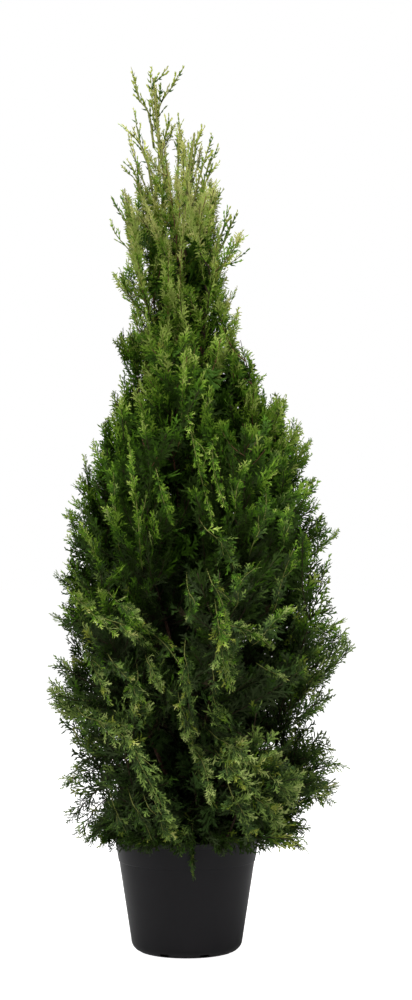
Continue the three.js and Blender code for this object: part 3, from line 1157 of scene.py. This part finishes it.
def upright_plane(heading, rng, twist):
    """The normal of the upright plane through a heading, twisted a little about it."""
    flat = unit(np.cross(heading, UP) + 1e-6)
    return turned(flat, unit(heading), rng.normal(0, math.radians(twist)))


def spine_of(node):
    """The line that a mass grows along: from its foot through its middle to its tip."""
    points = node_points(node)
    order = np.argsort(points[:, 2])
    foot, tip = points[order[:6]].mean(0), points[order[-4:]].mean(0)
    middle = (points.max(0) + points.min(0)) / 4 + points.mean(0) / 2
    return smooth_line([foot, middle, tip], 24)


def heading_at(way, lift):
    """A heading by its way round the trunk and its lift, both as angles."""
    return np.array([math.cos(lift) * math.cos(way), math.cos(lift) * math.sin(way), math.sin(lift)])


def sought_heading(point, swing, lift_by):
    """Where a frond at a point grows to: outwards, swung aside by an angle, and up by its height's lift."""
    lift = math.radians(np.interp(point[2], LIFT[:, 0], LIFT[:, 1])) + lift_by
    return heading_at(from_trunk(point)[1] + swing, lift)


LINE_STEP = 0.012


def grow_line(rng, start, heading, longest, slack, swing, lift_by):
    """A frond's line, which turns step by step from its first heading to the one it seeks, in the outline."""
    line, way = [start], heading
    for _ in range(int(longest / LINE_STEP)):
        sought = sought_heading(line[-1], swing, lift_by)
        way = unit(way + 0.24 * (sought - way) + rng.normal(0, 0.045, 3))
        ahead = line[-1] + way * LINE_STEP
        if not in_crown(ahead, slack - 0.006) or in_hollow(ahead):
            break
        line.append(ahead)
    return np.array(line)


OUTER_SHARE = 0.25
THINNED_SHARE = 0.82


def grow_mass(node, ring, seed, leafage, twigs):
    """Fronds leave the mass's spine at the golden angle and turn outwards and up to meet the outline."""
    rng = np.random.default_rng(seed)
    growth = RING_GROWTH[ring]
    spine = spine_of(node)
    if ring == "weeping":
        spine = spine[::-1]
    thin = ring in ("spire", "weeping")
    twigs.add(spine[:-4:3], 0.0012 if thin else 0.0026, 0.0006, TWIG_GREEN if thin else TWIG_BROWN)
    outwards = unit(np.array([*(spine[12][:2] - trunk_centre(spine[12][2])), 0.0]))
    for k in range(growth.fronds):
        share = 0.90 * (k + rng.uniform(0.1, 0.9)) / growth.fronds
        start, tangent = along(spine, share)
        across = unit(np.cross(tangent, outwards))
        facing = np.cross(across, tangent)
        turn = k * GOLDEN_ANGLE + rng.normal(0, 0.2)
        heading = unit(math.cos(turn) * facing + math.sin(turn) * across + tangent * rng.uniform(0.2, 0.9))
        swing = math.atan2(math.sin(turn), math.cos(turn)) * 0.36 + rng.normal(0, 0.22)
        outer = rng.uniform() < OUTER_SHARE
        slack = rng.uniform(-0.004, 0.012) if outer else rng.uniform(-0.052, -0.012)
        longest = growth.longest * rng.uniform(0.65, 1.1)
        line = grow_line(rng, start, heading, longest, slack, swing, rng.normal(0, 0.20))
        if len(line) < 4 or (in_thin_place(line[-1]) and rng.uniform() < THINNED_SHARE):
            continue
        plane = upright_plane(line[-1] - line[-3], rng, 70 - 40 * crown_height(start[2]))
        # Outer fronds get paler tints and inner ones darker, as painted shade within the crown.
        bright = growth.bright + rng.normal(0.06 if outer else -0.06, 0.10)
        frond(rng, leafage, twigs, line, plane, growth.spray, bright, slack + 0.004)
    plane = upright_plane(outwards, rng, 20)
    part, slack, style = spine[6:], 0.0, "plume"
    if ring == "weeping":
        part, slack, style = spine[2:-4], 1.0, "tail"
    elif ring == "spire":
        part, slack, style = spine[4:-6], 0.06, "antler"
    frond(rng, leafage, twigs, part, plane, growth.spray, growth.bright, slack, style)


# ---- Fronds and shoots that the eye picks out ----

# Fronds on the crown's face. In millimetres: x and z of the foot, x and z of the tip, how far the foot and
# the tip stand out, and the spray's size. Then brightness, and how squarely the frond faces the front.
FACE_FRONDS = [
    (-68, 620, -88, 800, 0, 6, 15, 0.26, 0.6),
    (-102, 640, -112, 760, 0, 6, 17, 0.16, 0.6),
    (4, 830, 40, 676, 0, 10, 12, 0.20, 0.8),
    (40, 800, 58, 700, 0, 10, 13, 0.16, 0.7),
    (-42, 742, -24, 680, 2, 10, 12, 0.18, 0.8),
    (30, 664, 72, 604, 4, 10, 19, 0.18, 0.9),
    (38, 586, 62, 524, 4, 10, 13, 0.26, 0.8),
    (46, 539, 60, 440, 6, 14, 20, 0.34, 1.0),
    (56, 505, 68, 432, 6, 14, 16, 0.38, 1.0),
    (42, 440, 50, 392, 4, 12, 14, 0.14, 1.0),
    (64, 522, 129, 486, 4, 12, 13, 0.36, 0.8),
    (122, 452, 150, 438, 4, 12, 11, 0.34, 0.8),
    (2, 581, 5, 537, 2, 8, 14, 0.14, 0.9),
    (-2, 478, -6, 408, 4, 10, 12, 0.26, 0.8),
    (-8, 402, 14, 320, 6, 12, 14, 0.30, 0.8),
    (10, 336, 38, 260, 10, 16, 15, 0.34, 0.8),
    (-156, 378, -70, 326, 4, 12, 19, 0.25, 0.9),
    (-86, 342, -36, 250, 6, 12, 18, 0.23, 0.9),
    (-173, 560, -114, 512, 2, 10, 17, 0.26, 0.9),
    (-124, 530, -46, 474, 4, 12, 15, 0.16, 0.9),
    (-107, 558, -55, 510, 4, 12, 14, 0.14, 0.9),
    (-70, 520, -10, 466, 4, 12, 14, 0.18, 0.9),
    (-97, 512, -59, 486, 4, 12, 13, 0.10, 0.9),
    (-156, 482, -120, 411, 2, 8, 17, 0.12, 0.8),
    (-59, 465, -38, 427, 4, 10, 12, 0.30, 0.9),
    (-72, 440, -65, 402, 4, 10, 14, 0.12, 0.8),
    (-114, 468, -88, 440, 4, 10, 14, 0.06, 0.8),
    (46, 352, 104, 310, 6, 12, 25, 0.18, 1.0),
    (52, 322, 96, 280, 6, 12, 24, 0.16, 1.0),
    (70, 266, 98, 204, 6, 12, 24, 0.16, 1.0),
    (104, 262, 140, 210, 6, 10, 24, 0.22, 0.9),
    (130, 290, 176, 240, 4, 10, 24, 0.14, 0.9),
    (-80, 250, -52, 194, 6, 14, 20, 0.02, 0.9),
    (-56, 246, -24, 190, 6, 14, 20, 0.10, 0.9),
    (-40, 240, -8, 192, 6, 14, 18, 0.06, 0.9),
    (-110, 244, -88, 196, 4, 12, 20, 0.00, 0.8),
    (78, 556, 104, 606, 2, 10, 19, 0.26, 0.8),
    (112, 500, 150, 536, 2, 10, 18, 0.20, 0.8),
    (74, 690, 92, 762, 0, 6, 17, 0.18, 0.7),
    (148, 640, 166, 700, 0, 6, 19, 0.16, 0.6),
    (100, 640, 120, 726, 0, 6, 19, 0.12, 0.6),
    (136, 550, 164, 636, 0, 6, 19, 0.12, 0.6),
]

# Free shoots round the leaders, in millimetres: x, y and z of each point from foot to tip.
SHOOTS = [
    (-50, 0, 1290, -54, -4, 1330, -57, -4, 1372),
    (-52, 4, 1262, -60, 4, 1316, -76, 2, 1340, -83, 2, 1374),
    (-56, 0, 1350, -50, 4, 1366, -40, 4, 1376),
    (-48, 2, 1300, -42, 2, 1330, -28, 4, 1352, -13, 4, 1374),
    (-44, 0, 1324, -43, -4, 1346),
    (-50, -4, 1180, -46, -6, 1216, -34, -6, 1282, -30, -6, 1298),
    (-54, -2, 1220, -72, 0, 1262, -82, 2, 1312),
    (-54, 4, 1190, -64, 6, 1248, -78, 8, 1274, -96, 10, 1292),
    (-16, -6, 1150, -14, -6, 1240, -12, -6, 1296),
    (0, 4, 1160, 10, 4, 1236, 14, 4, 1264, 21, 4, 1282),
    (8, -4, 1170, 26, -4, 1236, 37, -4, 1268),
    (14, 0, 1160, 30, 0, 1222, 43, 2, 1250),
    (12, -4, 1150, 28, -2, 1204, 41, -2, 1226),
    (-60, 4, 1140, -74, 6, 1200, -88, 8, 1234),
    (-70, 0, 1180, -82, -2, 1212, -94, -2, 1222),
    (-68, 4, 1090, -88, 6, 1146, -100, 8, 1180),
    (-76, 0, 1110, -100, 2, 1152, -114, 2, 1172),
    (-80, 0, 1090, -106, -2, 1118, -117, -2, 1136),
    (20, -4, 1110, 34, -6, 1160, 48, -6, 1182),
    (34, 0, 1070, 54, 2, 1126, 62, 2, 1156),
    (40, 4, 1080, 62, 4, 1120, 73, 4, 1150),
    (36, 2, 1066, 66, 4, 1080, 88, 4, 1094),
    (40, -4, 1040, 60, -4, 1082, 68, -4, 1106),
    (-66, 0, 1000, -90, 2, 1026, -100, 2, 1050),
]

# Fronds at the crown's sides, in millimetres: x, y and z of each point from foot to tip.
SIDE_FRONDS = [
    (-100, -20, 310, -148, -24, 306, -174, -26, 286),
    (-96, 20, 290, -150, 26, 280, -186, 28, 262),
    (-96, -30, 276, -144, -36, 252, -176, -38, 216),
    (-96, -50, 262, -138, -60, 234, -160, -62, 198),
    (-86, -40, 240, -124, -48, 214, -146, -52, 182),
    (-80, 10, 236, -112, 12, 206, -128, 14, 180),
    (-120, -10, 366, -174, -10, 392, -204, -10, 414),
    (-130, 0, 484, -164, 0, 506, -184, 0, 526),
    (126, -10, 290, 192, -12, 302, 234, -12, 292),
    (134, -20, 268, 182, -22, 260, 220, -22, 242),
    (110, -40, 240, 150, -46, 224, 172, -48, 200),
    (104, -50, 216, 136, -58, 202, 154, -60, 182),
    (156, -6, 400, 196, -6, 412, 218, -6, 428),
    (156, -6, 450, 210, -6, 472, 240, -6, 494),
    (150, 10, 480, 200, 12, 494, 228, 14, 508),
    (150, 0, 545, 188, 0, 564, 210, 0, 588),
    (126, 0, 680, 158, 0, 712, 172, 0, 744),
    (110, 0, 740, 150, 0, 776, 172, 0, 792),
    (100, 0, 780, 132, 0, 826, 150, 0, 852),
    (-60, 0, 892, -84, 2, 924, -94, 2, 946),
    (-60, 0, 1010, -84, 0, 1046, -92, 0, 1070),
    (-120, 0, 530, -160, 2, 556, -184, 2, 580),
    (-120, 0, 636, -156, 0, 662, -180, 0, 682),
    (-110, -30, 590, -142, -34, 622, -156, -34, 650),
    (110, -30, 560, 142, -34, 596, 156, -34, 630),
    (100, -40, 240, 144, -44, 262, 170, -44, 284),
    (100, 20, 250, 150, 24, 270, 180, 26, 292),
    (110, -50, 230, 148, -56, 255, 166, -56, 276),
    (110, 0, 236, 148, 0, 254, 166, 0, 266),
    (0, -20, 900, 34, -26, 960, 46, -28, 1010),
    (4, 0, 920, 46, 0, 972, 58, 0, 1024),
    (0, 20, 930, 40, 24, 990, 50, 26, 1036),
    (0, -20, 960, 36, -28, 1010, 48, -30, 1050),
    (4, 10, 980, 40, 12, 1030, 52, 14, 1066),
    (-40, -10, 920, -72, -14, 966, -82, -16, 1000),
    (-36, 20, 940, -66, 26, 980, -78, 28, 1010),
    (130, -4, 300, 174, -4, 306, 194, -4, 312),
    (120, -30, 246, 174, -36, 260, 202, -36, 272),
    (120, 20, 240, 178, 24, 262, 206, 26, 284),
    (130, -10, 256, 182, -12, 274, 210, -12, 290),
    (120, -20, 640, 158, -24, 672, 180, -24, 692),
    (100, 20, 710, 150, 24, 742, 180, 26, 762),
    (-120, -30, 370, -158, -34, 394, -178, -34, 420),
    (-120, 20, 390, -160, 24, 416, -184, 26, 440),
    (-120, -10, 404, -168, -12, 430, -196, -12, 450),
    (-80, -40, 246, -112, -46, 258, -132, -48, 274),
    (-124, -10, 560, -158, -12, 586, -176, -12, 602),
    (-120, -10, 602, -156, -12, 626, -176, -12, 640),
    (-116, -10, 656, -150, -12, 682, -170, -12, 698),
    (60, 0, 850, 92, 0, 876, 110, 0, 892),
    (120, -10, 730, 160, -12, 752, 182, -12, 766),
]


LOW_FACE = 0.45


def grow_face_fronds(leafage, twigs):
    """Strands over the crown's face. Each leaves a hidden foot behind the face; the broader ones fork."""
    rng = np.random.default_rng(7)
    for row in FACE_FRONDS:
        x0, z0, x1, z1, out0, out1, spray = (length / 1000 for length in row[:7])
        bright, flat = row[7:]
        bow = 0.010 * rng.uniform(-1, 1)
        bright += 0.02 if z0 < LOW_FACE else 0.06
        line = []
        for share in np.linspace(0, 1, 5):
            arch = math.sin(math.pi * share)
            x = x0 + (x1 - x0) * share + bow * arch
            z = z0 + (z1 - z0) * share + 0.12 * abs(x1 - x0) * arch
            line.append(on_front(x, z, out0 + (out1 - out0) * share - 0.008))
        heading = unit(line[-1] - line[0])
        foot = line[0] - heading * 0.020 - FRONT * 0.045
        line = smooth_line([foot, *line], 16)
        plane = unit(upright_plane(heading, rng, 5) * (1 - flat) + FRONT * flat)
        frond(rng, leafage, twigs, line, plane, spray, bright, 0.030, "strand")
        length = np.linalg.norm(line[-1] - line[0])
        side = 1 if rng.uniform() < 0.5 else -1
        for fork in range(int(spray / 0.0095)):
            side = -side
            point, tangent = along(line, 0.34 + 0.14 * fork + rng.uniform(0, 0.08))
            away = turned(tangent, plane, math.radians(rng.uniform(24, 40)) * side)
            reach = length * rng.uniform(0.18, 0.28)
            bend = point + away * reach * 0.5
            tip = bend + unit(away + tangent * 0.5 - UP * 0.15) * reach * 0.5
            branch = smooth_line([point, bend, tip], 8)
            frond(rng, leafage, twigs, branch, plane, spray * 0.85, bright - 0.06, 0.030, "strand")


SIDE_SPRAY = 0.024
ARCHING_BELOW = 0.3


def grow_side_fronds(leafage, twigs):
    """Fronds that reach the outline furthest; those at the lower left are bare, arching twigs."""
    rng = np.random.default_rng(11)
    for row in SIDE_FRONDS:
        points = points_of(row)
        line = smooth_line(points, 12)
        plane = unit(FRONT + rng.normal(0, 0.45, 3))
        arching = points[-1][0] < 0 and points[-1][2] < ARCHING_BELOW
        higher = 0.30 * max(0.0, points[0][2] - 0.60) / 0.35
        bright = 0.08 * rng.uniform() - (0.14 if arching else 0.02) + higher
        frond(rng, leafage, twigs, line, plane, SIDE_SPRAY, bright, 0.05, "arching" if arching else "ragged")


FRINGE = 64


def grow_fringe(leafage, twigs):
    """Short fronds that lie over the pot's rim all the way round."""
    rng = np.random.default_rng(12)
    for k in range(FRINGE):
        way = 2 * math.pi * (k + rng.uniform(-0.4, 0.4)) / FRINGE
        out = np.array([math.cos(way), math.sin(way), 0.0])
        z = RIM + rng.uniform(0.020, 0.052)
        start = out * (RIM_RADIUS - rng.uniform(0.020, 0.045)) + UP * z
        over = out * (RIM_RADIUS + rng.uniform(0.006, 0.020)) + UP * (RIM + rng.uniform(0.008, 0.030))
        tip = over + turned(out, UP, rng.normal(0, 0.6)) * rng.uniform(0.008, 0.026)
        if in_thin_place(tip) and rng.uniform() < 0.6:
            continue
        tip[2] = RIM + rng.uniform(-0.010, 0.012)
        plane = unit(np.cross(tip - start, np.cross(UP, tip - start)) + rng.normal(0, 0.35, 3))
        line = smooth_line([start, over, tip], 10)
        frond(rng, leafage, twigs, line, plane, SIDE_SPRAY, rng.normal(-0.02, 0.12), 0.05, "ragged")


def grow_shoots(leafage, twigs):
    """Free shoots round the leaders, and the scaly sprays that clad the leaders themselves."""
    rng = np.random.default_rng(8)
    for node, foot, spray in (("trunk", 1.16, 0.019), ("second_leader", 1.14, 0.017)):
        line = TRUNK_LINE if node == "trunk" else leaning_line(node, 60)[0]
        line = line[(line[:, 2] > foot) & (line[:, 2] < line[-1, 2] - 0.8 * spray)]
        frond(rng, leafage, twigs, line, unit(FRONT + rng.normal(0, 0.3, 3)), spray, 0.12, 0.05, "column")
    for row in SHOOTS:
        line = smooth_line(points_of(row), 12)
        plane = unit(FRONT + rng.normal(0, 0.35, 3))
        frond(rng, leafage, twigs, line, plane, 0.021, rng.normal(0.08, 0.06), 0.05, "antler")


INSIDE_TWIGS = 330
WARM_INSIDE = 0.55
WITHERED_SHARE = 0.18


def grow_inside(leafage, twigs):
    """Bare twigs round the trunk close the crown's inside, with dark sprays that are painted shade, and
    withered ones lower down.
    """
    rng = np.random.default_rng(9)
    pool = POOLS["inner"]
    for k in range(INSIDE_TWIGS):
        low = k % 5 == 0
        z = 0.192 + (0.03 * rng.uniform() if low else 0.88 * (k / INSIDE_TWIGS) ** 1.25)
        way = k * GOLDEN_ANGLE
        heading = heading_at(way, math.radians(rng.uniform(-2, 16) if low else rng.uniform(15, 60)))
        line = [np.array([*trunk_centre(z), z])]
        longest = 0.80 * reach_at(z, way) * rng.uniform(0.7, 1.1)
        for _ in range(8):
            line.append(line[-1] + heading * longest / 8)
            heading = unit(heading + rng.normal(0, 0.16, 3) + UP * 0.03)
        line = np.array(line)
        twigs.add(line[:-1], 0.0013, 0.0006, TWIG_BROWN)
        count = int(longest / 0.0095)
        for j in range(count):
            point, tangent = along(line, 0.12 + 0.88 * j / count)
            spray_heading = unit(tangent + rng.normal(0, 0.60, 3))
            size = rng.uniform(0.034, 0.050)
            tip = point + spray_heading * size
            if outness(tip) > 0.87 or not in_crown(tip, -0.022) or in_thin_place(tip):
                continue
            low_down = point[2] < WARM_INSIDE
            withered = rng.uniform() < WITHERED_SHARE and low_down
            # Painted shade: inner sprays take the two darkest tints of their family, standing in for the shade
            # inside the crown.
            painted_shade, painted_dim = COOL[:2] if low_down else WARM[:2]
            tint = WITHERED if withered else (painted_shade if rng.uniform() < 0.4 else painted_dim)
            normal = unit(rng.normal(0, 1, 3))
            leafage.add(pool[rng.integers(len(pool))], point, spray_heading, normal, size, (tint, tint, painted_dim))


def finish_piece(piece, nodes):
    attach(piece, "root")
    if nodes:
        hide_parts(*nodes)


def in_front(node):
    """True for a mass in the crown's front half."""
    low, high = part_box(node)
    return low.y + high.y < 0


def grow_crown():
    """Every leaf and twig: ring by ring, front and back, then the leaders, the face and the inside."""
    twigs = Twigs()
    seed = 100
    for ring in RING_NAMES:
        masses = [n for n in MASSES if n.startswith(ring)]
        halves = {"front": [n for n in masses if in_front(n)], "back": [n for n in masses if not in_front(n)]}
        for half, members in halves.items():
            leafage = Leafage()
            for node in members:
                seed += 1
                grow_mass(node, ring, seed, leafage, twigs)
            piece = leafage.build(f"{ring}_leaves_{half}")
            finish_piece(piece, members)
    leafage = Leafage()
    for node in TUFTS:
        seed += 1
        grow_mass(node, "spire", seed, leafage, twigs)
    grow_shoots(leafage, twigs)
    finish_piece(leafage.build("spire_leaves"), TUFTS)
    leafage = Leafage()
    grow_mass(WEEPING, "weeping", seed + 1, leafage, twigs)
    grow_face_fronds(leafage, twigs)
    grow_side_fronds(leafage, twigs)
    grow_fringe(leafage, twigs)
    finish_piece(leafage.build("face_leaves"), [WEEPING])
    leafage = Leafage()
    grow_inside(leafage, twigs)
    finish_piece(leafage.build("inner_leaves"), [])
    finish_piece(twigs.build("crown_twigs"), [])


# ---- Studio ----

CAMERA_DISTANCE = 3.8
VIEW_HEIGHT = 1.573
SENSOR = 36
AIM = (0.030, 0.0, 0.708)
WORLD_STRENGTH = 0.15
FLOOR_GLOW = 0.96
# Each soft box: its name, its place, the height it is aimed at, its width and height, and its power.
SOFTBOXES = [
    ("left softbox", (-2.5, -1.7, 2.1), 0.75, (1.3, 2.2), 98),
    ("right softbox", (2.6, -1.6, 2.0), 0.70, (1.3, 2.2), 84),
    ("top softbox", (-0.1, -1.1, 3.3), 0.60, (1.6, 1.6), 130),
]


def aim(piece, place, target):
    """Puts a camera or a light at a place and turns it to a target."""
    piece.location = place
    piece.rotation_mode = "QUATERNION"
    piece.rotation_quaternion = (Vector(target) - Vector(place)).to_track_quat("-Z", "Y")


def make_camera():
    data = bpy.data.cameras.new("camera")
    data.sensor_width = SENSOR
    data.lens = SENSOR * CAMERA_DISTANCE / VIEW_HEIGHT
    camera = add_object("camera", data)
    aim(camera, (AIM[0], -CAMERA_DISTANCE, AIM[2]), AIM)
    bpy.context.scene.camera = camera


def show_camera(tree, shown, other, target):
    """Feeds a shader input with one shader for the camera's own rays and another for all other light."""
    mix = add_node(tree, "MixShader")
    wire(
        tree,
        (add_node(tree, "LightPath").outputs["Is Camera Ray"], mix.inputs["Fac"]),
        (other, mix.inputs[1]),
        (shown, mix.inputs[2]),
        (mix.outputs[0], target),
    )


def make_world():
    """A white world that lights the plant only weakly."""
    world = bpy.data.worlds.new("studio")
    bpy.context.scene.world = world
    world.use_nodes = True
    tree = world.node_tree
    tree.nodes.clear()
    white = ("Color", (1, 1, 1, 1))
    seen = add_node(tree, "Background", [white, ("Strength", 1.0)])
    lit = add_node(tree, "Background", [white, ("Strength", WORLD_STRENGTH)])
    out = add_node(tree, "OutputWorld")
    show_camera(tree, seen.outputs[0], lit.outputs[0], out.inputs["Surface"])


def make_floor():
    """A pale floor that the camera sees almost as white as the world."""
    deselect_all()
    bpy.ops.mesh.primitive_plane_add(size=30, location=(0, 0, -0.0005))
    floor = settle(bpy.context.object, "studio_floor")
    material, shader = principled("studio_white", (0.6, 0.6, 0.6), 0.9, 0.1)
    tree = material.node_tree
    glow = add_node(tree, "Emission", [("Strength", FLOOR_GLOW)])
    added = add_node(tree, "AddShader")
    wire(tree, (shader.outputs[0], added.inputs[0]), (glow.outputs[0], added.inputs[1]))
    show_camera(tree, added.outputs[0], shader.outputs[0], tree.nodes["Material Output"].inputs["Surface"])
    floor.data.materials.append(material)


def make_lights():
    for name, place, height, size, energy in SOFTBOXES:
        data = bpy.data.lights.new(name, "AREA")
        data.shape = "RECTANGLE"
        data.size, data.size_y = size
        data.energy = energy
        aim(add_object(name, data), place, (0, 0, height))


def make_studio():
    bpy.context.scene.view_settings.view_transform = "Standard"
    make_camera()
    make_world()
    make_floor()
    make_lights()


make_studio()
make_pot()
make_compost()
make_wood(make_bark())
grow_crown()
